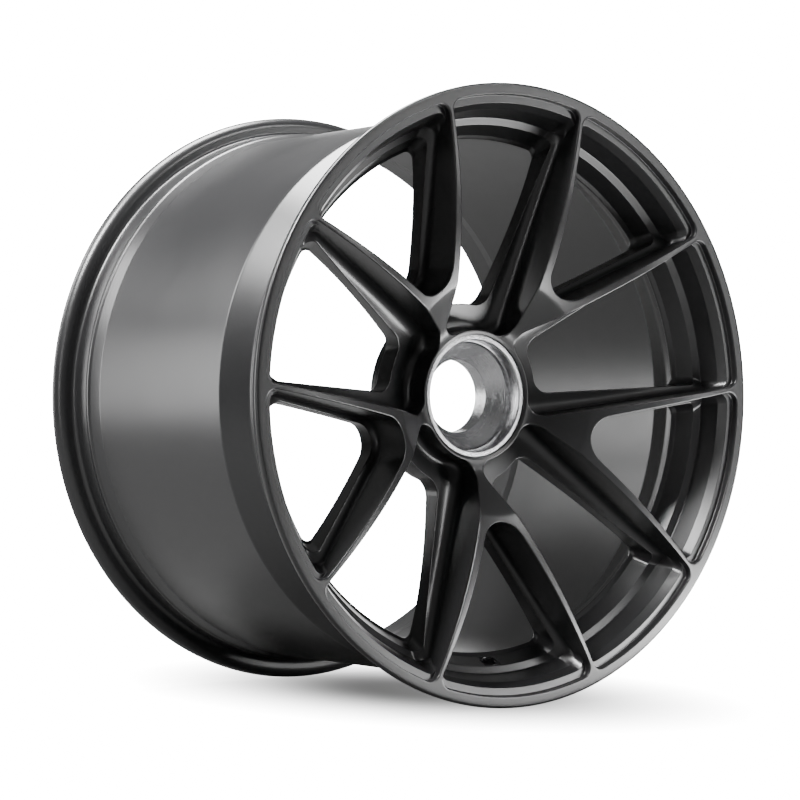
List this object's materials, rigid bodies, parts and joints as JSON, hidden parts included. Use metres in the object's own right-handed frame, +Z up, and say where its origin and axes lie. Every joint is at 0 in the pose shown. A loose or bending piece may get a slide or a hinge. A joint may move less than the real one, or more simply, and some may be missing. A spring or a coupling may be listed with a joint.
{
  "type": "racing wheel",
  "caption": "Deep-barrel forged centre-lock racing wheel with slim twin-arm spokes, a stepped outer ring and a turned conical nut seat.",
  "frame": {"origin": "wheel centre: on the spin axis, halfway between the two flange tips", "axes": "+Y along the spin axis, inboard towards the car; the spoke face looks along -Y; +Z up; one spoke group points down along -Z"},
  "size_m": [0.5426, 0.3414, 0.5426],
  "materials": {
    "satin_black_paint": "forged aluminium with satin black powder coat",
    "turned_alloy": "fine turned, bare",
    "spring_steel": "phosphated",
    "bush_steel": "ground"
  },
  "bodies": {
    "root": {"wheel_hub": "satin_black_paint", "wheel_spokes": "satin_black_paint", "wheel_barrel": "satin_black_paint", "nut_seat_insert": "turned_alloy", "insert_retaining_ring": "spring_steel", "drive_pin_bush_1": "bush_steel", "drive_pin_bush_2": "bush_steel", "drive_pin_bush_3": "bush_steel", "drive_pin_bush_4": "bush_steel", "drive_pin_bush_5": "bush_steel"}
  },
  "joints": []
}
